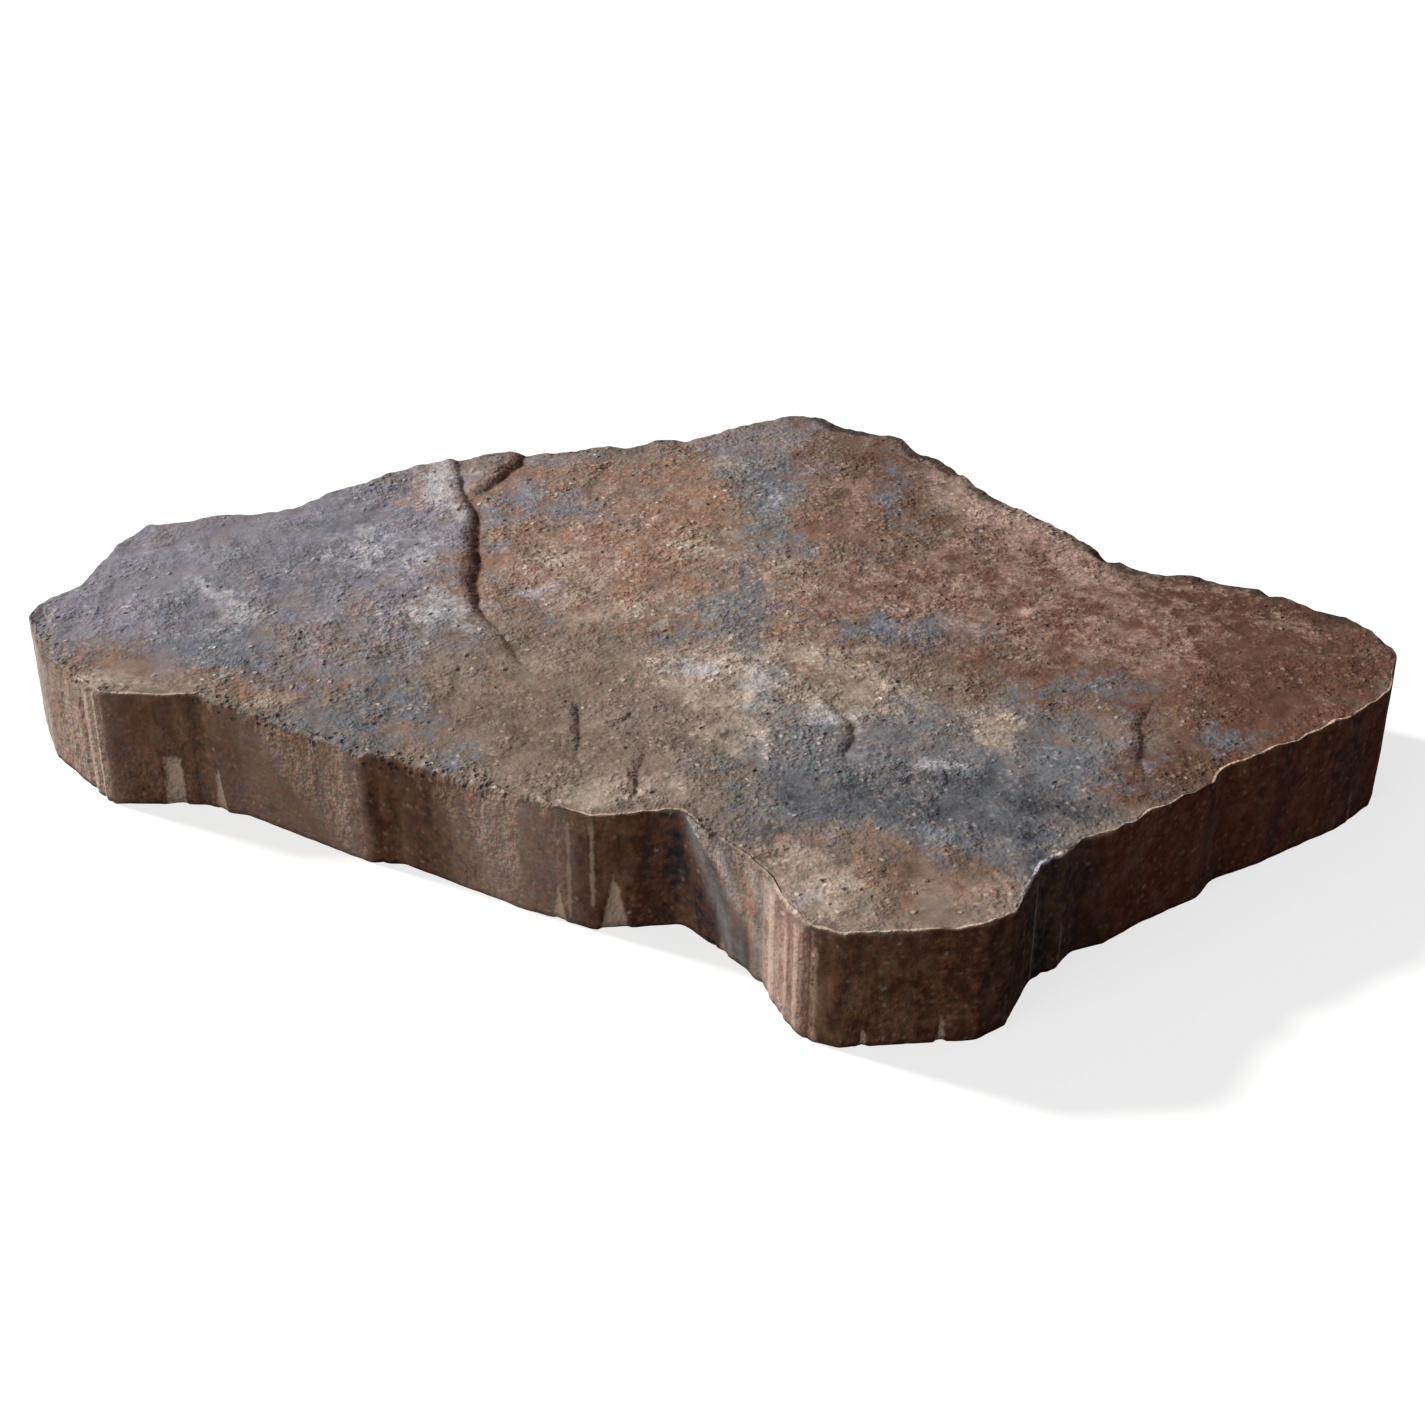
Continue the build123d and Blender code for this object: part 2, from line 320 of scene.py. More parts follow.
# Thin upright ribs left by the joints of the mould: (x, y, half width, foot, head, taper)
WALL_RIBS = [
    (-234.7, -48.5, 1.6, 0, 46, 0), (-229.8, -52, 1.1, 0, 47, 0), (-38, -131, 0.8, 10, 47, 0),
    (-46, -127, 0.6, 2, 44, 0), (23.5, -169, 2.2, 0, 44, 0), (31, -186, 1.4, 0, 44, 0),
    (38, -193, 0.7, 0, 40, 0), (114, -159, 0.8, 2, 44, 0.3), (125, -150, 0.8, 0, 18, 0.5),
    (246, -60, 0.6, 0, 13, 0), (28, -181, 1.0, 6, 40, 0),
]

# Flakes broken out of the foot, narrower at the head: (x, y, half width, foot, head, taper)
FOOT_FLAKES = [
    (-201, -54, 3.8, -2, 21, 0.2), (-183, -58, 3.2, -2, 20, 1.0), (-51, -125, 3.2, -2, 16, 1.0),
    (-31, -130, 5.6, -2, 24, 1.0), (81, -191, 2.0, -2, 9, 0.9), (54, -194, 1.6, -2, 8, 0.9),
    (7, -143, 2.0, -2, 6, 0.5),
]

# Grooves as tall as the wall, between the folds at its corners: (x, y, half width, depth)
WALL_GROOVES = [
    (-238, -45.5, 1.5, 1.0), (-232.2, -50.5, 1.2, 1.0), (-227, -53.3, 1.0, 0.8),
    (-262, 6, 1.5, 0.8), (18.5, -162, 1.6, 1.2), (26.5, -177, 1.4, 1.0), (35, -191, 1.4, 1.0),
    (-118, -92, 1.6, 0.8), (120, -155, 1.6, 1.0), (4, -139, 1.5, 0.8),
]

# Stretches of rim with a thin raised burr of pale paste, its pale line partly a painted highlight: (x,
# y, reach, strength)
BURRS = [
    (-214, -54, 18, 0.7), (-196, -54, 12, 0.5), (-34, -131, 22, 0.8), (-8, -127, 9, 0.6),
    (45, -195, 14, 0.8), (78, -191, 30, 0.85), (104, -182, 8, 0.9), (112, -164, 16, 1.0),
    (122, -152, 8, 1.0), (150, -130, 26, 0.65), (190, -97, 32, 0.75), (232, -69, 24, 0.75),
    (258, -45, 14, 0.6),
]

# Where that burr is thicker: (x, y, reach, share added)
THICK_BURRS = [(114, -160, 8, 0.2), (121, -152, 6, 0.4)]

# Stretches of rim that crumbled, with pits as on a sponge: (x, y, reach, strength)
CRUMBLED = [
    (-168, -64, 22, 0.9), (-135, -84, 20, 0.9), (-105, -96, 18, 0.9), (-80, -110, 14, 0.8),
    (-262, -4, 16, 0.7), (-240, -38, 14, 0.5), (0, -135, 12, 0.5), (-50, 163, 30, 0.4),
    (140, 98, 40, 0.5), (215, 36, 30, 0.5),
]

# Stretches of rim that are worn round: (x, y, reach, strength)
ROUNDED = [
    (18, -165, 14, 0.8), (28, -184, 10, 0.9), (58, 186, 10, 0.9), (92, 158, 8, 0.8),
    (104, 146, 8, 0.5), (163, 66, 12, 0.9), (175, 54, 8, 0.6), (238, 18, 14, 0.5),
    (-225, -50, 8, 0.5), (-78, -110, 18, 0.9), (-60, -120, 10, 0.8),
]

# Stretches of rim with a dark band along the edge: (x, y, reach, strength)
DARK_RIM_STRETCHES = [
    (58, 184, 12, 1.0), (70, 178, 8, 0.7), (93, 158, 10, 1.0), (106, 143, 12, 0.8), (125, 118, 16, 0.6),
    (162, 68, 11, 0.9), (174, 55, 9, 0.7), (200, 46, 14, 0.4), (226, 32, 13, 0.6), (250, 8, 10, 0.5),
    (-265, 4, 7, 0.6), (-250, 62, 8, 0.4), (-60, 164, 8, 0.4), (84, 174, 6, 0.5),
]

# Bites broken out of the far rim, as the model has them: (x, y, radius of the ball)
RIM_BITES = [(96, 163, 9.0), (112, 139, 7.0), (168, 64, 11.0), (228, 32, 8.0), (-30, 168, 7.0)]
BITE_SINK = 0.35

# How far the arris is worn back everywhere, at the least, and where it is round or crumbled
COMMON_WEAR = 0.9
LEAST_WEAR = 0.4
ROUND_WEAR = 2.4
CRUMB_WEAR = 1.4

# The wear's height to its depth, the burr's half width and height, and the foot's setback
ARRIS_STEEPNESS = 1.2
BURR_WIDTH = 1.25
BURR_HEIGHT = 0.35
FOOT_SETBACK = 0.5

# How far the skin of the walls stands back: everywhere, and by its pleats and hollows
SKIN_RECESS = 0.4
PLEAT_DEPTH = 0.3
HOLLOW_DEPTH = 0.25

# Noise of the length round the rim: (height, cell, row of the lattice, seed)
RIM_RAGGED = [(0.8, 16, 90, 22), (0.6, 7, 60, 23)]
BURR_RAGGED = [(0.8, 8, 20, 30)]
ROUND_RAGGED = [(1.0, 9, 30, 26)]
CRUMB_RAGGED = [(1.0, 6, 0, 24)]
BURR_TEAR = [(0.5, 6, 0, 25), (0.3, 2.5, 0, 27)]
RIM_RIPPLE = [(0.8, 11, 0, 28), (0.5, 5, 0, 29)]
WALL_PLEATS = [(1.0, 9, 0, 41), (0.5, 4, 50, 42)]

# Noise that moves the places of the patches sideways and upwards: (height, cell, seed)
PATCH_SHIFT_X = [(9, 30, 61), (4, 11, 62)]
PATCH_SHIFT_Y = [(9, 30, 63), (4, 11, 64)]
FIRST_PATCH_SEED = 71

# Outside every mark, in mm
FAR_OUTSIDE = -99.0


def lattice_noise(x, y, cell, seed):
    """Gradient noise of about -1 to 1 at plan places.

    The corners of a square lattice get random slopes. Each place takes the four slopes about
    it, times its offset from those corners, blended by 6t^5 - 15t^4 + 10t^3.
    """
    turns = np.random.default_rng(seed).uniform(0, 2 * np.pi, (256, 256))
    u, v = x / cell, y / cell
    column, row = np.floor(u).astype(int), np.floor(v).astype(int)
    right, up = u - column, v - row
    total = 0.0
    for step_x in (0, 1):
        for step_y in (0, 1):
            turn = turns[(column + step_x) % 256, (row + step_y) % 256]
            off_x, off_y = right - step_x, up - step_y
            near_x, near_y = 1 - abs(off_x), 1 - abs(off_y)
            blend_x = near_x**3 * (near_x * (6 * near_x - 15) + 10)
            blend_y = near_y**3 * (near_y * (6 * near_y - 15) + 10)
            total += blend_x * blend_y * (np.cos(turn) * off_x + np.sin(turn) * off_y)
    return 1.5 * total


def layered_noise(x, y, layers):
    """Noise at plan places, added up from layers (height, cell, seed)."""
    return sum(rise * lattice_noise(x, y, cell, seed) for rise, cell, seed in layers)


def noise_along(along, layers):
    """Noise of a length alone, added up from layers (height, cell, row of the lattice, seed)."""
    return sum(
        rise * lattice_noise(along, np.full_like(along, row), cell, seed)
        for rise, cell, row, seed in layers
    )


def blotches(x, y, cell, seed):
    """Noise of a cell and of half and a quarter of it, halved each time, about 0 to 1."""
    layers = [(1, cell, seed), (0.5, cell / 2, seed + 100), (0.25, cell / 4, seed + 200)]
    return 0.5 + 0.35 * layered_noise(x, y, layers)


def smooth_step(value, low, high):
    """0 below low and 1 above high, with 3t^2 - 2t^3 between."""
    t = np.clip((value - low) / (high - low), 0, 1)
    return t * t * (3 - 2 * t)


def cad_outline(node):
    """The foot of the model's walls: its points on the ground, by their angle about the origin."""
    places = np.empty(3 * len(node.data.vertices), np.float32)
    node.data.vertices.foreach_get("co", places)
    places = places.reshape(-1, 3) / MM
    foot = np.unique(np.round(places[places[:, 2] < 0.01, :2], 3), axis=0)
    return foot[np.argsort(np.arctan2(foot[:, 1], foot[:, 0]))]


class Rim:
    """The outline as a function of the share of the way round.

    The shares 0, 1/4, 1/2 and 3/4 fall on the front, right, far and left extremes of the
    outline, and between two of them the share runs with the length of the outline.
    """

    def __init__(self, outline):
        front = np.argmin(outline[:, 1])
        loop = np.roll(outline, -front, axis=0)
        self.loop = np.vstack([loop, loop[:1]])
        steps = np.hypot(*np.diff(self.loop, axis=0).T)
        self.run = np.concatenate([[0], np.cumsum(steps)])
        extremes = [0, np.argmax(loop[:, 0]), np.argmax(loop[:, 1]), np.argmin(loop[:, 0])]
        self.quarters = [*self.run[extremes], self.run[-1]]

    def length(self, share):
        """Length of outline from the front extreme to a share."""
        return np.interp(share % 1, (0, 0.25, 0.5, 0.75, 1), self.quarters)

    def place(self, share):
        """The point of the outline at a share: straight runs between the model's points."""
        along = self.length(share)
        return np.stack(
            [np.interp(along, self.run, self.loop[:, axis]) for axis in (0, 1)], axis=-1
        )

    def outward(self, share):
        """Unit normals: the chord over a step either way, turned a quarter to the right."""
        step = 2.5 / STATIONS
        chord = self.place(share + step) - self.place(share - step)
        chord /= np.hypot(chord[:, 0], chord[:, 1])[:, None]
        return np.stack([chord[:, 1], -chord[:, 0]], axis=-1)


def crack_offsets(x, y, points):
    """Offset from the crack's line, its depth there, and the nearest point of the line.

    The line is a chain of straight runs. The offset is the distance to the nearest run,
    positive on the left of the way along it, and the depth is shared out along the run.
    """
    offset, depth = np.full_like(x, 1e6), np.full_like(x, -1.0)
    foot_x, foot_y = x.copy(), y.copy()
    for (ax, ay, a_depth), (bx, by, b_depth) in zip(points, points[1:]):
        run = math.hypot(bx - ax, by - ay)
        way_x, way_y = (bx - ax) / run, (by - ay) / run
        along = np.clip((x - ax) * way_x + (y - ay) * way_y, 0, run)
        near_x, near_y = ax + along * way_x, ay + along * way_y
        side = np.sign(way_x * (y - ay) - way_y * (x - ax))
        distance = np.hypot(x - near_x, y - near_y)
        closer = distance < abs(offset)
        offset = np.where(closer, side * distance, offset)
        depth = np.where(closer, a_depth + (b_depth - a_depth) * along / run, depth)
        foot_x, foot_y = np.where(closer, near_x, foot_x), np.where(closer, near_y, foot_y)
    return offset, depth, foot_x, foot_y


def drawn_to_cracks(x, y):
    """The same places, drawn in towards the cracks, so that each lip is as sharp as a cast one.

    Within reach r of a crack, a distance d becomes d times (d / r)^0.8; the pull fades to
    nothing where the crack runs out.
    """
    for points in CRACKS.values():
        offset, depth, foot_x, foot_y = crack_offsets(x, y, points)
        pull = PULL_POWER * smooth_step(depth, -0.3, 0.8)
        reach = np.clip(abs(offset) / CRACK_PULL, 1e-3, 1)
        share = reach**pull
        x = foot_x + (x - foot_x) * share
        y = foot_y + (y - foot_y) * share
    return x, y


def crack_relief(x, y):
    """What the cracks add to the height of the top, and how strongly their painted shade lies at a
    place.

    The layer on the left swells towards the crack and turns down as one minus a sine of a
    quarter turn, with a round shoulder. The layer on the right dips to meet it and comes back
    to the face as an exponential of the distance.
    """
    relief, crack_shade_share = np.zeros_like(x), np.zeros_like(x)
    wander = layered_noise(x, y, CRACK_WANDER)
    for points in CRACKS.values():
        offset, depth, _, _ = crack_offsets(x + wander, y, points)
        depth = np.maximum(depth * (1 + 0.25 * lattice_noise(x, y, 8, 32)), 0)
        gap = abs(offset)
        bank = 1 - np.sin(np.pi / 2 * np.clip(gap / (BANK_REACH * depth + 0.8), 0, 1))
        left = depth * (LAYER_RISE * np.exp(-((gap / 15) ** 2)) - bank)
        right = -depth * (1 - LAYER_RISE) * np.exp(-gap / 5)
        step = np.where(offset > 0, left, right)
        relief = np.where(abs(step) > abs(relief), step, relief)
        # The cracks' painted shade: wide on the left bank, narrow on the right, full only where the
        # crack is deep
        reach = np.where(offset > 0, 1.6 * depth + 0.5, 0.8)
        foot = np.exp(-((gap / reach) ** 2))
        crack_shade_share = np.maximum(crack_shade_share, foot * smooth_step(depth, 0.6, 3.0))
    return relief, crack_shade_share


def swell_height(x, y):
    """Height of the model's riven face: bell-shaped swells over the slab's thickness, added up."""
    height = np.full_like(x, THICKNESS)
    for middle_x, middle_y, radius, rise in SWELLS:
        height += rise * np.exp(-((x - middle_x) ** 2 + (y - middle_y) ** 2) / radius**2)
    return height


def top_height(x, y):
    """Height of the top: the model's face with the relief of the stone, the cracks and the bites.

    The relief is noise of four sizes. A bite is the underside of a ball sunk in the rim.
    """
    height = swell_height(x, y) - RELIEF_DROP + crack_relief(x, y)[0]
    height += layered_noise(x, y, TOP_RELIEF)
    for bite_x, bite_y, radius in RIM_BITES:
        face = swell_height(np.array([float(bite_x)]), np.array([float(bite_y)]))
        middle = face + radius * (1 - BITE_SINK)
        reach = (x - bite_x) ** 2 + (y - bite_y) ** 2
        ball = middle - np.sqrt(np.maximum(radius**2 - reach, 0))
        height = np.where(reach < radius**2, np.minimum(height, ball), height)
    return height


def share_of_marks(x, y, marks):
    """How strongly marks (x, y, reach, strength) lie at places: bells that add as layers do."""
    bare = np.ones_like(x)
    for mark_x, mark_y, reach, strength in marks:
        bare *= 1 - strength * np.exp(-((x - mark_x) ** 2 + (y - mark_y) ** 2) / reach**2)
    return 1 - bare


def share_of_wall_marks(wall, height, along, marks):
    """Soft marks on the wall, torn by noise that is taller than it is wide.

    At the slope of the notch a place reads the marks further down the slope the higher it is, so that
    the painted light and shade there follow the edge of the cast shadow.
    """
    torn = lattice_noise(along, height / 2, 9, 45)
    x, y, reach = SLANT_PLACE
    slant = np.exp(-((wall[..., 0] - x) ** 2 + (wall[..., 1] - y) ** 2) / reach**2)
    slant *= SLANT * (height - THICKNESS / 2)
    share = share_of_marks(
        wall[..., 0] + 5 * torn + slant * SLANT_WAY[0],
        wall[..., 1] + 5 * torn + slant * SLANT_WAY[1],
        marks,
    )
    return np.clip(share * (1 + 0.35 * torn), 0, 1)


def share_of_patches(x, y, patches, seed):
    """How much of a pigment lies at places: ellipses with warped, torn edges.

    The place is first moved by noise of two sizes. A patch (x, y, half length, half width,
    turn, strength) gives its strength times a bell of the distance in half widths. Patches
    add as layers do, and noise of a few sizes tears what they add up to.
    """
    moved_x = x + layered_noise(x, y, PATCH_SHIFT_X)
    moved_y = y + layered_noise(x, y, PATCH_SHIFT_Y)
    bare = np.ones_like(x)
    for middle_x, middle_y, length, width, turn, strength in patches:
        c, s = math.cos(math.radians(turn)), math.sin(math.radians(turn))
        u = ((moved_x - middle_x) * c + (moved_y - middle_y) * s) / length
        v = ((moved_y - middle_y) * c - (moved_x - middle_x) * s) / width
        bare *= 1 - strength * np.exp(-1.1 * (u * u + v * v) ** 1.1)
    share = 1 - bare
    torn = 1.1 * (blotches(x, y, 12, seed) - 0.5)
    return share - 0.3 * np.clip(1 - share / 0.3, 0, 1) + torn * np.clip(share / 0.3, 0.1, 1)


def pigments_at(x, y):
    """How much of each pigment lies at places. Each is torn by a noise of its own."""
    return {
        name: share_of_patches(x, y, patches, FIRST_PATCH_SEED + number)
        for number, (name, patches) in enumerate(PATCHES.items())
    }


def round_loop(values, share):
    """Values given at the stations of the rim, read at any share of the way round."""
    stations = np.arange(len(values) + 1) / len(values)
    closed = np.concatenate([values, values[:1]])
    return np.interp(share, stations, closed)


def star_shaped(loop):
    """The loop with its angle about the origin made to rise all the way round.

    Where the angle would fall back, it is held at its largest so far plus a hair a step.
    """
    hair = 2e-5 * np.arange(len(loop))
    angle = np.unwrap(np.arctan2(loop[:, 1], loop[:, 0]))
    rising = np.maximum.accumulate(angle - hair) + hair
    return np.hypot(*loop.T)[:, None] * np.stack([np.cos(rising), np.sin(rising)], axis=-1)


class WornRim:
    """The outline at the stations of the rim, and how far the arris is worn back there.

    The wear is noise round the rim, more where it crumbled or is round. The noise fades where
    the rim turns its side to the middle, so that no ray meets it twice. The burr is the half
    width of the pale paste and painted highlight on the rim, and falls below nothing where
    there is none.
    """

    def __init__(self, rim):
        around = np.arange(STATIONS) / STATIONS
        self.outline = rim.place(around)
        self.outward = rim.outward(around)
        self.along = rim.length(around)
        self.squareness = abs((self.outline * self.outward).sum(axis=1)) / np.hypot(*self.outline.T)
        self.facing = smooth_step(self.squareness, 0.25, 0.7)
        self.crumbled = share_of_marks(*self.outline.T, CRUMBLED)
        self.wear = self.worn_back()
        self.brink = star_shaped(self.outline - self.outward * self.wear[:, None])
        self.burr = self.burr_width()

    def worn_back(self):
        """How far the arris stands back from the outline."""
        rounded = share_of_marks(*self.outline.T, ROUNDED)
        ragged = noise_along(self.along, RIM_RAGGED)
        ragged += share_of_marks(*self.outline.T, BURRS) * noise_along(self.along, BURR_RAGGED)
        ragged += rounded * noise_along(self.along, ROUND_RAGGED)
        ragged += self.crumbled * noise_along(self.along, CRUMB_RAGGED)
        wear = COMMON_WEAR + ROUND_WEAR * rounded + CRUMB_WEAR * self.crumbled
        return np.clip(wear + self.facing * ragged, LEAST_WEAR, None)

    def burr_width(self):
        """Half width of the burr, torn by noise round the rim."""
        strength = share_of_marks(*self.outline.T, BURRS)
        thick = 1 + share_of_marks(*self.outline.T, THICK_BURRS)
        return BURR_WIDTH * thick * strength * (1 + noise_along(self.along, BURR_TEAR)) - 0.25

    def station(self, x, y):
        """Length along the outline where it passes closest to a place."""
        return self.along[np.argmin(np.hypot(*(self.outline - (x, y)).T))]


def upright_marks(worn, height, marks):
    """Signed gap to the edge of upright marks on the wall, in mm, positive inside.

    A mark (x, y, half width, foot, head, taper) stands where the outline passes closest to its
    place. Its half width shrinks by the taper from the foot to the head, where it fades out.
    """
    gap = np.full_like(height, FAR_OUTSIDE)
    for x, y, half_width, foot, head, taper in marks:
        width = half_width * (1 - taper * (height - foot) / (head - foot))
        sideways = width - abs(worn.along - worn.station(x, y))
        upwards = np.minimum(height - foot, 0.4 * (head - height))
        gap = np.maximum(gap, np.minimum(sideways, upwards))
    return gap


def wall_recess(worn, height, rib, flake):
    """How far the wall stands back from the model's: ribs, grooves, pleats and rough patches.

    Noise of the length along the wall alone gives pleats as tall as the wall. Noise of length
    and height gives hollows a little taller than they are wide. A groove is a bell of the
    length along the wall.
    """
    hollows = lattice_noise(worn.along, height / 2.5, 10, 43)
    hollows += 0.5 * lattice_noise(worn.along, height / 1.5, 4, 44)
    pleats = noise_along(worn.along, WALL_PLEATS)
    recess = np.clip(SKIN_RECESS + PLEAT_DEPTH * pleats + HOLLOW_DEPTH * hollows, 0.05, None)
    recess *= 1 - smooth_step(rib, -1.2, 0.4)
    for x, y, half_width, depth in WALL_GROOVES:
        recess += depth * np.exp(-(((worn.along - worn.station(x, y)) / half_width) ** 2))
    return recess + smooth_step(flake, -0.6, 0.8)


def top_grid():
    """Corners of a square grid taken as rings: ring number and share of the way round."""
    steps = np.arange(-TOP_RINGS, TOP_RINGS + 1)
    i, j = np.meshgrid(steps, steps)
    ring = np.maximum(abs(i), abs(j))
    along = np.select(
        [i == ring, j == ring, i == -ring],
        [j + ring, 3 * ring - i, 5 * ring - j],
        7 * ring + i,
    )
    return ring, along / np.maximum(8 * ring, 1)


def riven_top(worn, ring, share):
    """Places of the top, and what the material reads there.

    Each ring of the grid is the worn rim made smaller about the middle. How far a place is
    from the rim is its distance along the ray, times how squarely the ray meets the rim. The
    rim ripples, carries the lip of the burr, and is pitted where it crumbled.
    """
    edge_x, edge_y = (round_loop(values, share) for values in worn.brink.T)
    inward = ring / TOP_RINGS
    x, y = drawn_to_cracks(edge_x * inward, edge_y * inward)
    x = np.where(ring == TOP_RINGS, edge_x, x)
    y = np.where(ring == TOP_RINGS, edge_y, y)
    squareness = np.maximum(round_loop(worn.squareness, share), 0.15)
    from_rim = np.hypot(edge_x - x, edge_y - y) * squareness

    burr = round_loop(worn.burr, share)
    lip = BURR_HEIGHT * round_loop(worn.facing, share) * smooth_step(burr, 0.0, 0.6)
    ripple = round_loop(worn.facing * noise_along(worn.along, RIM_RIPPLE), share)
    crumbled = share_of_marks(x, y, CRUMBLED) * np.exp(-((from_rim / 5) ** 2))
    z = top_height(x, y)
    z += lip * smooth_step(burr - from_rim, -1.2, 0.3)
    z += ripple * np.exp(-((from_rim / 4) ** 2))
    z -= crumbled * np.clip(0.4 + 1.2 * lattice_noise(x, y, 3.5, 51), 0, None)

    smooth = share_of_marks(x, y, SMOOTH_PLACES)
    read = {
        "wall": np.zeros_like(z),
        "painted_crack_shade": crack_relief(x, y)[1],
        "burr": burr - from_rim,
        "pitted": crumbled,
        "dark_rim": share_of_marks(x, y, DARK_RIM_STRETCHES) * np.exp(-((from_rim / 5) ** 4)),
        "rib": np.full_like(z, FAR_OUTSIDE),
        "flake": np.full_like(z, FAR_OUTSIDE),
        "blotch": blotches(x, y, 18, 91),
        "coarse": np.clip(0.72 + 1.4 * (blotches(x, y, 22, 93) - 0.5) - 0.55 * smooth, 0.15, 1),
    }
    read.update(pigments_at(x, y))
    read.update({name: np.zeros_like(z) for name in WALL_MARKS})
    return np.stack([x, y, z], axis=-1), read


def mould_wall(worn, rim_height):
    """Places of the arris and the wall in rows, and what the material reads there.

    The first rows turn round the arris as a quarter ellipse, and the others go straight down
    with the wall's relief. The last row stands back a little, as the foot of a casting does.
    """
    angle = np.pi / 2 * np.arange(1, ARRIS_ROWS + 1)[:, None] / ARRIS_ROWS
    drop = ARRIS_STEEPNESS * worn.wear
    height = np.vstack([
        rim_height - drop * (1 - np.cos(angle)),
        (rim_height - drop) * (1 - np.arange(1, WALL_ROWS + 1)[:, None] / WALL_ROWS),
    ])
    rib = upright_marks(worn, height, WALL_RIBS)
    flake = upright_marks(worn, height, FOOT_FLAKES)
    turn = np.ones((len(height), 1))
    turn[:ARRIS_ROWS] = np.sin(angle)
    recess = worn.wear + (wall_recess(worn, height, rib, flake) - worn.wear) * turn
    recess[-1] += FOOT_SETBACK
    wall = worn.outline[None] - worn.outward[None] * recess[..., None]

    row = np.arange(1, len(height) + 1)[:, None]
    on_wall = np.broadcast_to(smooth_step(row, ARRIS_ROWS - 4.0, ARRIS_ROWS), height.shape)
    past_rim = np.where(row <= ARRIS_ROWS, row / ARRIS_ROWS * worn.wear * 1.6, -FAR_OUTSIDE)
    read = {
        "wall": on_wall,
        "painted_crack_shade": np.zeros_like(height),
        "burr": worn.burr - past_rim,
        "pitted": worn.crumbled * np.exp(-(((rim_height - height) / 5) ** 2)),
        "dark_rim": share_of_marks(*worn.outline.T, DARK_RIM_STRETCHES) * (1 - on_wall),
        "rib": rib,
        "flake": flake,
        "blotch": blotches(worn.along, height, 18, 92),
        "coarse": np.clip(0.85 + 0.4 * lattice_noise(worn.along, height, 34, 94), 0.4, 1.2),
    }
    for name, share in pigments_at(wall[..., 0], wall[..., 1]).items():
        read[name] = share * (1 - on_wall)
    for name, marks in WALL_MARKS.items():
        read[name] = share_of_wall_marks(wall, height, worn.along, marks) * on_wall
    return np.dstack([wall, height]), read


def slab_faces(grid, rows, foot_middle):
    """Squares of the top's grid and between the rows of the wall, and a fan under the foot."""
    following = np.roll(rows, -1, axis=1)
    corners = [grid[:-1, :-1], grid[:-1, 1:], grid[1:, 1:], grid[1:, :-1]]
    top = np.stack(corners, axis=-1).reshape(-1, 4)
    wall = np.stack([rows[:-1], rows[1:], following[1:], following[:-1]], axis=-1).reshape(-1, 4)
    fan = np.stack([rows[-1], np.full(STATIONS, foot_middle), following[-1]], axis=-1)
    return [*top.tolist(), *wall.tolist(), *fan.tolist()]


def slab_surface(rim):
    """Vertices and faces of the slab, and what the material reads at each vertex.

    The outermost ring of the top is the first row of the arris, and the last row of the wall is
    closed by a fan to the middle of the underside.
    """
    worn = WornRim(rim)
    ring, share = top_grid()
    top, read_on_top = riven_top(worn, ring, share)
    outer = np.flatnonzero(ring == TOP_RINGS)
    outer = outer[np.argsort(share.ravel()[outer])]
    wall, read_on_wall = mould_wall(worn, top[..., 2].ravel()[outer])

    vertices = np.vstack([top.reshape(-1, 3), wall.reshape(-1, 3), np.zeros((1, 3))])
    grid = np.arange(ring.size).reshape(ring.shape)
    rows = np.vstack([outer, ring.size + np.arange(wall[..., 0].size).reshape(-1, STATIONS)])
    faces = slab_faces(grid, rows, len(vertices) - 1)
    read = {
        name: np.concatenate([read_on_top[name].ravel(), read_on_wall[name].ravel(), [0]])
        for name in read_on_top
    }
    return vertices, faces, read


def linear(hex_colour):
    """An sRGB hex colour as linear red, green, blue and alpha."""
    shares = (int(hex_colour[i : i + 2], 16) / 255 for i in (0, 2, 4))
    return (*(s / 12.92 if s <= 0.04045 else ((s + 0.055) / 1.055) ** 2.4 for s in shares), 1)


def add_node(tree, kind, inputs=(), give=None, **settings):
    """Adds a node with its settings, feeds its inputs and gives back one of its outputs.

    The inputs come in the order of the node's live sockets, or by their names in a dictionary.
    Each is a value or the output of another node. What comes back is the output called give,
    or else the first live one.
    """
    node = tree.nodes.new("ShaderNode" + kind)
    for name, value in settings.items():
        setattr(node, name, value)
    if not isinstance(inputs, dict):
        live = (number for number, socket in enumerate(node.inputs) if socket.enabled)
        inputs = dict(zip(live, inputs))
    for socket, term in inputs.items():
        if isinstance(term, bpy.types.NodeSocket):
            tree.links.new(term, node.inputs[socket])
        else:
            node.inputs[socket].default_value = term
    if give:
        return node.outputs[give]
    return next((socket for socket in node.outputs if socket.enabled), None)


def bare_nodes(owner):
    """Clears the nodes of a material or a world, and gives add_node for them."""
    owner.use_nodes = True
    owner.node_tree.nodes.clear()
    return functools.partial(add_node, owner.node_tree)


def bits_of_mix(add, cells, number, keep_from, core, rim):
    """Bits in the share of cells whose random number is past keep_from: 1 in the core.

    The cells are given by their distance output.
    """
    numbers = add("SeparateColor", (cells.node.outputs["Color"],)).node.outputs
    kept = add("Math", (numbers[number], keep_from), operation="GREATER_THAN")
    bit = add("MapRange", (cells, rim, core))
    return add("Math", (bit, kept), operation="MULTIPLY")


def laid_over(add, colour, amount, low, high, strength, tone):
    """The colour with a tone over it, where an amount rises from low to high."""
    cover = add("MapRange", (amount, low, high, 0.0, strength))
    return add("Mix", (cover, colour, linear(tone)), data_type="RGBA")


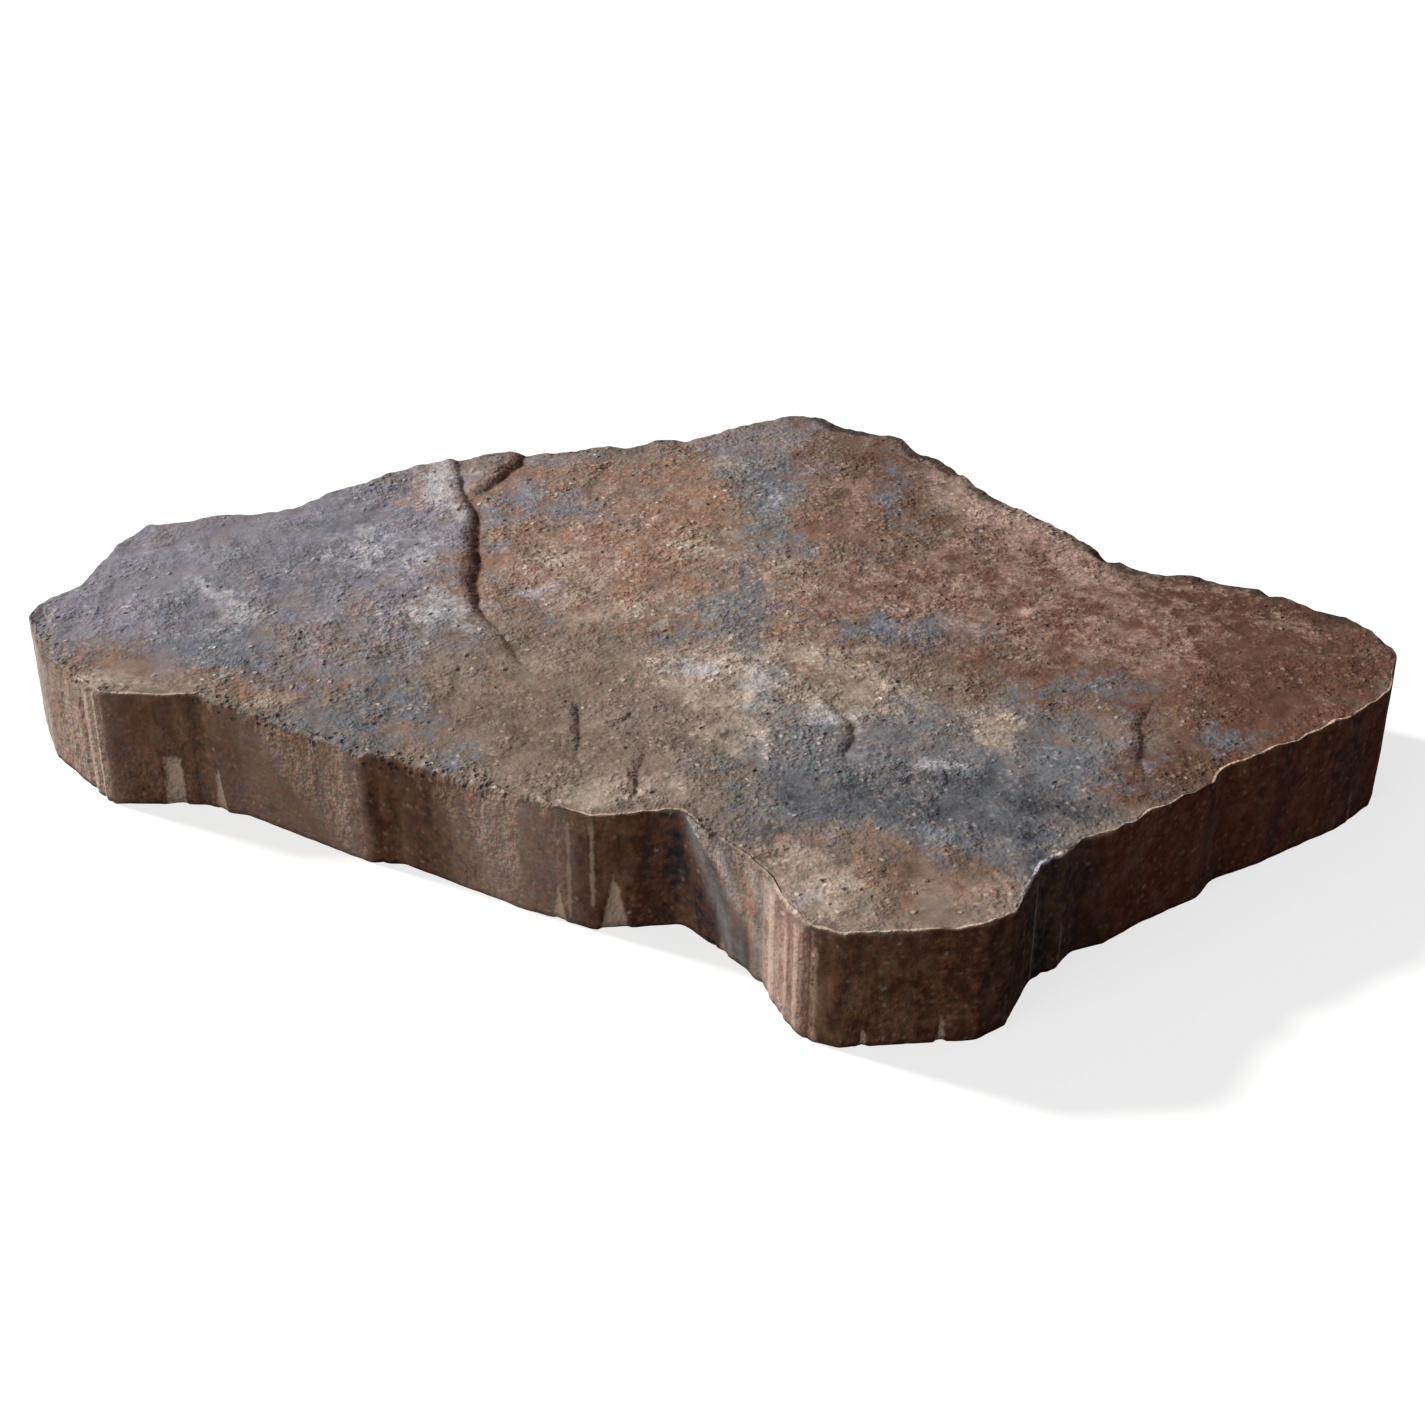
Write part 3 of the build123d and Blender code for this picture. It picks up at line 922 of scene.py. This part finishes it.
def pigmented_top(add, read, speckle):
    """The ground in two shades, and over it the pigments, each torn by one of three noises."""
    shade = add("MapRange", (read["blotch"], 0.3, 0.7))
    colour = add("Mix", (shade, *map(linear, GROUND_COLOURS)), data_type="RGBA")
    tears = add("SeparateColor", (speckle,)).node.outputs
    for number, (name, pigment) in enumerate(PIGMENTS.items()):
        torn = add("Math", (tears[number % 3], 0.5), operation="SUBTRACT")
        amount = (torn, SPECKLING.get(name, COMMON_SPECKLING), read[name])
        share = add("Math", amount, operation="MULTIPLY_ADD")
        colour = laid_over(add, colour, share, 0.08, 0.92, 0.95, pigment)
    return colour


def marked_skin(add, read, run, clump):
    """A brown skin in two shades, with its marks in upright runs, mottled and blotched."""
    shade = add("MapRange", (run, 0.38, 0.62))
    skin = add("Mix", (shade, *map(linear, SKIN_COLOURS)), data_type="RGBA")
    crumbs = add("Math", (run, 0.5), operation="SUBTRACT")
    for name, pigment in WALL_COLOURS.items():
        share = add("Math", (crumbs, 1.2, read[name]), operation="MULTIPLY_ADD")
        skin = laid_over(add, skin, share, 0.1, 0.9, 1.0, pigment)
    skin = laid_over(add, skin, clump, 0.42, 0.62, 0.5, SKIN_MOTTLE)
    skin = laid_over(add, skin, read["blotch"], 0.55, 0.8, 0.45, SKIN_DARK)
    return laid_over(add, skin, read["blotch"], 0.4, 0.15, 0.3, SKIN_PALE)


def grained(add, read, colour, speckle, fine, clump):
    """Sand of many tints, then light and dark in three sizes, more where the face is coarse."""
    sandy = add("Math", (read["coarse"], 0.5), operation="MULTIPLY")
    tint = add("Mix", (sandy, MID_GREY, speckle), data_type="RGBA")
    colour = add("Mix", (0.6, colour, tint), data_type="RGBA", blend_type="OVERLAY")
    for light, contrast in ((fine, 0.8), (clump, 1.15), (read["blotch"], 0.45)):
        depth = add("Math", (read["coarse"], contrast), operation="MULTIPLY")
        swing = add("Math", (light, 0.5), operation="SUBTRACT")
        shade = add("Math", (swing, depth, 0.97), operation="MULTIPLY_ADD")
        grey = add("CombineColor", (shade, shade, shade))
        colour = add("Mix", (1.0, colour, grey), data_type="RGBA", blend_type="MULTIPLY")
    return colour


def with_sand_grains(add, read, colour, small_cells, large_grains):
    """Pale grains of two sizes, in drifts, most on sand and rose, few on russet and the walls."""
    pale_pigment = add("Math", (read["sand"], read["rose"]), operation="MAXIMUM")
    pale = add("MapRange", (pale_pigment, 0.0, 0.6, 0.45, 1.0))
    small_grains = bits_of_mix(add, small_cells, 0, 0.55, 0.14, 0.42)
    small_grains = add("Math", (small_grains, pale), operation="MULTIPLY")
    in_drift = add("MapRange", (read["blotch"], 0.35, 0.6, 0.45, 1.0))
    in_coarse = add("MapRange", (read["coarse"], 0.2, 0.9, 0.3, 1.0))
    drift = add("Math", (in_drift, in_coarse), operation="MULTIPLY")
    russet = add("Math", (read["russet"], 0.8), operation="MULTIPLY")
    skinned = add("Math", (russet, read["wall"]), operation="MAXIMUM")
    bare = add("MapRange", (skinned, 0.0, 1.0, 1.0, 0.35))
    grains = add("Math", (small_grains, large_grains), operation="MAXIMUM")
    grains = add("Math", (grains, drift), operation="MULTIPLY")
    grains = add("Math", (grains, bare), operation="MULTIPLY")
    return add("Mix", (grains, colour, linear(SAND_GRAIN)), data_type="RGBA")


def with_paste_and_highlight(add, read, colour, ragged_edge):
    """Burr, ribs and flakes: paste that is paler than the face, torn at its edges; on the burr it is
    partly a painted highlight.
    """
    paste = add("MapRange", (read["burr"], -0.15, 0.25))
    for name, tear, low, high, strength in (
        ("rib", 2.5, -0.5, 0.5, 0.55),
        ("flake", 3.0, -0.6, 0.7, 0.95),
    ):
        edge = add("Math", (ragged_edge, tear, read[name]), operation="MULTIPLY_ADD")
        shown = add("MapRange", (edge, low, high))
        shown = add("Math", (shown, strength), operation="MULTIPLY")
        paste = add("Math", (paste, shown), operation="MAXIMUM")
    greyed = add("MapRange", (read["charcoal"], 0.0, 0.4))
    tone = add("Mix", (greyed, linear(PASTE_AND_HIGHLIGHT), linear(PASTE_AND_HIGHLIGHT_ON_CHARCOAL)), data_type="RGBA")
    return add("Mix", (paste, colour, tone), data_type="RGBA")


def air_pits(add, read, small_cells, large_cells):
    """Air pits of the coarse top, and the small pits of a crumbled rim, as on a sponge."""
    crumbled = add("MapRange", (read["pitted"], 0.1, 0.4))
    sponge = bits_of_mix(add, small_cells, 1, 0.5, 0.2, 0.45)
    sponge = add("Math", (sponge, crumbled), operation="MULTIPLY")
    on_top = add("MapRange", (read["wall"], 0.0, 1.0, 1.0, 0.0))
    in_coarse = add("MapRange", (read["coarse"], 0.2, 0.8, 0.2, 1.0))
    open_face = add("Math", (on_top, in_coarse), operation="MULTIPLY")
    large_pits = bits_of_mix(add, large_cells, 1, 0.8, 0.06, 0.28)
    large_pits = add("Math", (large_pits, open_face), operation="MULTIPLY")
    return add("Math", (large_pits, sponge), operation="MAXIMUM")


def darkened(add, read, colour, pits, ragged_edge):
    """Painted shade in the pits and in the cracks, warm brown on the banks and darker at the foot, and
    a dark band along stretches of the far rim.
    """
    # The pits are painted dark as the shade that falls in them
    colour = laid_over(add, colour, pits, 0.0, 1.0, 0.8, PIT_SHADE)
    # Painted shade in the cracks: brown over the banks, darker at the foot
    colour = laid_over(add, colour, read["painted_crack_shade"], 0.0, 1.0, 0.8, CRACK_BANK_SHADE)
    colour = laid_over(add, colour, read["painted_crack_shade"], 0.6, 1.0, 0.6, CRACK_FOOT_SHADOW)
    # A dark band along stretches of the rim, torn at its edge
    torn_dark_rim = add("Math", (ragged_edge, 1.5, read["dark_rim"]), operation="MULTIPLY_ADD")
    torn_dark_rim = add("MapRange", (torn_dark_rim, 0.1, 0.5, 0.0, 0.85))
    near_dark_rim = add("MapRange", (read["dark_rim"], 0.0, 0.2))
    dark_rimmed = add("Math", (torn_dark_rim, near_dark_rim), operation="MULTIPLY")
    return add("Mix", (dark_rimmed, colour, linear(DARK_RIM_COLOUR)), data_type="RGBA")


def grain_bump(add, read, fine, clump, large_grains, pits):
    """Normals of the grain: two sizes of noise and the large grains stand out, the pits sink."""
    clumps = add("Math", (clump, 2.1), operation="MULTIPLY")
    grit = add("Math", (fine, 0.8, clumps), operation="MULTIPLY_ADD")
    grains = add("Math", (large_grains, 0.6), operation="MULTIPLY")
    relief = add("Math", (grit, read["coarse"], grains), operation="MULTIPLY_ADD")
    skinned = add("MapRange", (read["wall"], 0.0, 1.0, 1.0, 0.6))
    relief = add("Math", (relief, skinned), operation="MULTIPLY")
    sunk = add("Math", (pits, 0.9), operation="MULTIPLY")
    relief = add("Math", (relief, sunk), operation="SUBTRACT")
    return add("Bump", {"Strength": 1.0, "Distance": MM, "Height": relief})


def concrete_material(read_names):
    """Colour-blended concrete, dry-cast in a steel mould: matte, gritty and patchy.

    Iron-oxide pigments are thrown into the mix in handfuls, so the colours lie in soft patches
    with a speckled edge. Sand grains of 1 to 2 mm stand out pale; air pits and cracks carry
    painted shade. The walls slid against the mould, so their marks run upright.
    """
    material = bpy.data.materials.new("colour_blended_cast_concrete")
    add = bare_nodes(material)
    read = {name: add("Attribute", give="Fac", attribute_name=name) for name in read_names}

    place = add("TexCoord", give="Object")
    fine = add("TexNoise", (place, 1 / (FINE_GRAIN * MM), 1, 0.5))
    clump = add("TexNoise", (place, 1 / (CLUMP * MM), 2, 0.6))
    speckle = add("TexNoise", (place, 1 / (SPECKLE * MM), 3, 0.75), "Color")
    upright = add("VectorMath", (place, (1, 1, RUN_SQUASH)), operation="MULTIPLY")
    run = add("TexNoise", (upright, 1 / (RUN_WIDTH * MM), 3, 0.65))
    tear = (fine.node.outputs["Color"], (BIT_TEAR * MM,) * 3, place)
    torn_place = add("VectorMath", tear, operation="MULTIPLY_ADD")
    small_cells = add("TexVoronoi", (torn_place, 1 / (SMALL_BIT * MM)))
    large_cells = add("TexVoronoi", (torn_place, 1 / (LARGE_BIT * MM)))
    large_grains = bits_of_mix(add, large_cells, 0, 0.82, 0.1, 0.28)
    ragged_edge = add("Math", (clump, 0.5), operation="SUBTRACT")
    pits = air_pits(add, read, small_cells, large_cells)

    top = pigmented_top(add, read, speckle)
    skin = marked_skin(add, read, run, clump)
    colour = add("Mix", (read["wall"], top, skin), data_type="RGBA")
    colour = grained(add, read, colour, speckle, fine, clump)
    colour = with_sand_grains(add, read, colour, small_cells, large_grains)
    colour = with_paste_and_highlight(add, read, colour, ragged_edge)
    colour = darkened(add, read, colour, pits, ragged_edge)
    bump = grain_bump(add, read, fine, clump, large_grains, pits)
    surface = {
        "Base Color": colour, "Roughness": 0.85, "Specular IOR Level": 0.35, "Normal": bump,
    }
    add("OutputMaterial", (add("BsdfPrincipled", surface),))
    return material


def make_slab():
    """The slab as one piece, with its pigments and marks as attributes of its points."""
    rim = Rim(cad_outline(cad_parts[SLAB_NODE]))
    vertices, faces, read = slab_surface(rim)
    mesh = bpy.data.meshes.new("cast_slab")
    mesh.from_pydata((vertices * MM).tolist(), [], faces)
    mesh.update()
    mesh.shade_smooth()
    for name, values in read.items():
        layer = mesh.attributes.new(name, "FLOAT", "POINT")
        layer.data.foreach_set("value", values.astype(np.float32))
    mesh.materials.append(concrete_material(read))
    slab = bpy.data.objects.new("cast_slab", mesh)
    bpy.context.scene.collection.objects.link(slab)
    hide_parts(SLAB_NODE)
    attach(slab, "root")


def make_floor():
    """A white floor that the camera sees as paper, with the slab's shadow kept on it."""
    reach = 4.0
    corners = [(-reach, -reach, 0), (reach, -reach, 0), (reach, reach, 0), (-reach, reach, 0)]
    mesh = bpy.data.meshes.new("floor")
    mesh.from_pydata(corners, [], [(0, 1, 2, 3)])
    floor = bpy.data.objects.new("floor", mesh)
    bpy.context.scene.collection.objects.link(floor)
    material = bpy.data.materials.new("matte_white_paper")
    add = bare_nodes(material)
    seen = add("LightPath", give="Is Camera Ray")
    paper = add("BsdfDiffuse", (linear(PAPER_SEEN),))
    lit = add("Emission", (WHITE, 0.72))
    shown = add("AddShader", (paper, lit))
    unseen = add("BsdfDiffuse", (linear(PAPER_UNSEEN),))
    add("OutputMaterial", (add("MixShader", (seen, unseen, shown)),))
    mesh.materials.append(material)


def make_lamp(name, energy, colour, softness, travel):
    """A sun lamp that shines along a direction, softened over an angle in degrees."""
    lamp = bpy.data.objects.new(name, bpy.data.lights.new(name, "SUN"))
    lamp.data.energy = energy
    lamp.data.color = colour
    lamp.data.angle = math.radians(softness)
    lamp.rotation_euler = Vector(travel).to_track_quat("-Z", "Y").to_euler()
    bpy.context.scene.collection.objects.link(lamp)


def make_light():
    """A low key from the left and a little behind, a soft fill from the left front, a pale world."""
    make_lamp("key", 4.5, (1.0, 0.98, 0.95), softness=6, travel=(0.78, -0.37, -0.50))
    make_lamp("fill", 1.15, (0.97, 0.98, 1.0), softness=35, travel=(0.75, 0.60, -0.24))
    world = bpy.data.worlds.new("world")
    add = bare_nodes(world)
    seen = add("LightPath", give="Is Camera Ray")
    sky = add("Background", (SKY, 0.2))
    white = add("Background", (WHITE, 1.0))
    add("OutputWorld", (add("MixShader", (seen, sky, white)),))
    bpy.context.scene.world = world


def make_camera():
    """The camera that was fitted to the slab's rim and foot in the photograph."""
    camera = bpy.data.objects.new("camera", bpy.data.cameras.new("camera"))
    camera.data.sensor_width = SENSOR
    camera.data.lens = SENSOR * FOCAL_PIXELS / PHOTO_HEIGHT
    camera.location = [c * MM for c in CAMERA_PLACE]
    camera.rotation_mode = "XYZ"
    tilt = math.radians(90 - CAMERA_PITCH)
    roll = math.radians(CAMERA_ROLL)
    turn = Matrix.Rotation(tilt, 4, "X") @ Matrix.Rotation(roll, 4, "Z")
    camera.rotation_euler = turn.to_euler()
    bpy.context.scene.collection.objects.link(camera)
    bpy.context.scene.camera = camera


make_camera()
make_slab()
make_floor()
make_light()
bpy.context.scene.view_settings.view_transform = "Standard"

bpy.context.view_layer.update()
